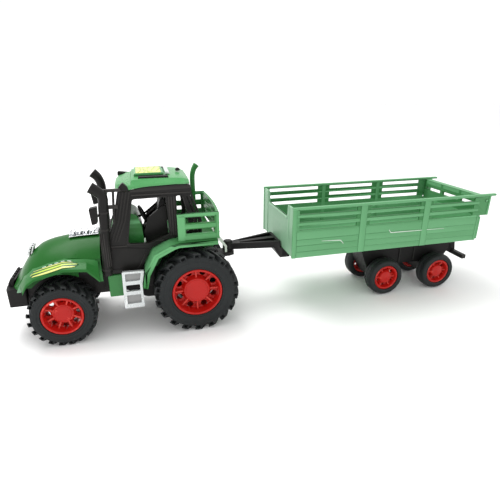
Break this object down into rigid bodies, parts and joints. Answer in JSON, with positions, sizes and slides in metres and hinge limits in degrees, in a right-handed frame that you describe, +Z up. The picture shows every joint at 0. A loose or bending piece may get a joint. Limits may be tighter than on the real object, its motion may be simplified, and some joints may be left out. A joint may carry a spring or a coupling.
{
  "type": "toy tractor with trailer",
  "caption": "Toy farm tractor with a long hood, framed cab and red wheels, hitched to a slatted four-wheel trailer with a swinging tailgate.",
  "frame": {"origin": "middle of the footprint, on the floor", "axes": "the tractor faces -X and the trailer stands behind it towards +X; +Y is the tractor's right-hand side; +Z is up"},
  "size_m": [0.473, 0.0984, 0.1423],
  "materials": {
    "tractor_green": "glossy moulded green",
    "trailer_green": "satin moulded lighter green",
    "black_plastic": "satin",
    "tyre_black": "soft matte vinyl",
    "rim_red": "satin moulded red",
    "silver_plastic": "silver paint on plastic",
    "chrome": "vacuum plated",
    "steel": "plain",
    "white_plastic": "natural moulded white"
  },
  "bodies": {
    "tractor": {"cab_floor": "black_plastic", "cab_frame": "black_plastic", "chassis": "black_plastic", "dashboard": "tractor_green", "engine_block": "chrome", "exhaust_stack_left": "black_plastic", "exhaust_stack_right": "black_plastic", "front_bumper": "black_plastic", "grille": "black_plastic", "headlamp_bar": "chrome", "hitch_clip": "black_plastic", "hood_shell": "tractor_green", "horn_pipe": "tractor_green", "ladder_left": "silver_plastic", "ladder_right": "silver_plastic", "mirror_left": "black_plastic", "mirror_right": "black_plastic", "motor_housing": "white_plastic", "rear_body": "tractor_green", "rear_rack": "tractor_green", "roof": "tractor_green", "roof_beacon": "black_plastic", "roof_hatch": "tractor_green", "seat": "black_plastic", "side_tank_left": "tractor_green", "side_tank_right": "tractor_green", "steering_wheel": "black_plastic", "tow_bracket": "white_plastic", "work_light_bar": "silver_plastic"},
    "front_wheels": {"front_axle": "steel", "front_rim_left": "rim_red", "front_rim_right": "rim_red", "front_tyre_left": "tyre_black", "front_tyre_right": "tyre_black"},
    "rear_wheels": {"rear_axle": "steel", "rear_rim_left": "rim_red", "rear_rim_right": "rim_red", "rear_tyre_left": "tyre_black", "rear_tyre_right": "tyre_black", "drive_gear": "white_plastic"},
    "flywheel": {"flywheel": "steel"},
    "trailer": {"drawbar": "black_plastic", "rear_bumper": "black_plastic", "trailer_body": "trailer_green", "trailer_chassis": "black_plastic"},
    "trailer_wheels_1": {"trailer_1_axle": "steel", "trailer_1_rim_left": "rim_red", "trailer_1_rim_right": "rim_red", "trailer_1_tyre_left": "tyre_black", "trailer_1_tyre_right": "tyre_black"},
    "trailer_wheels_2": {"trailer_2_axle": "steel", "trailer_2_rim_left": "rim_red", "trailer_2_rim_right": "rim_red", "trailer_2_tyre_left": "tyre_black", "trailer_2_tyre_right": "tyre_black"},
    "tailgate": {"tailgate": "trailer_green"}
  },
  "joints": [
    {"name": "front_axle_spin", "type": "hinge", "parent": "tractor", "child": "front_wheels", "pos_m": [-0.1898, 0, 0.0283], "axis": [0, 1, 0], "continuous": true},
    {"name": "rear_axle_spin", "type": "hinge", "parent": "tractor", "child": "rear_wheels", "pos_m": [-0.0745, 0, 0.038], "axis": [0, 1, 0], "continuous": true},
    {"name": "flywheel_spin", "type": "hinge", "parent": "tractor", "child": "flywheel", "pos_m": [-0.08614, 0, 0.0409], "axis": [0, 1, 0], "continuous": true},
    {"name": "hitch_yaw", "type": "hinge", "parent": "tractor", "child": "trailer", "pos_m": [-0.0361, 0, 0.0618], "axis": [0, 0, 1], "range_deg": [-45, 45]},
    {"name": "trailer_axle_1_spin", "type": "hinge", "parent": "trailer", "child": "trailer_wheels_1", "pos_m": [0.1307, 0, 0.0198], "axis": [0, 1, 0], "continuous": true},
    {"name": "trailer_axle_2_spin", "type": "hinge", "parent": "trailer", "child": "trailer_wheels_2", "pos_m": [0.1951, 0, 0.0198], "axis": [0, 1, 0], "continuous": true},
    {"name": "tailgate_swing", "type": "hinge", "parent": "trailer", "child": "tailgate", "pos_m": [0.2245, 0, 0.103], "axis": [0, -1, 0], "range_deg": [0, 80]}
  ],
  "couplings": [
    {"joint": "flywheel_spin", "follows": "rear_axle_spin", "ratio": -3}
  ]
}
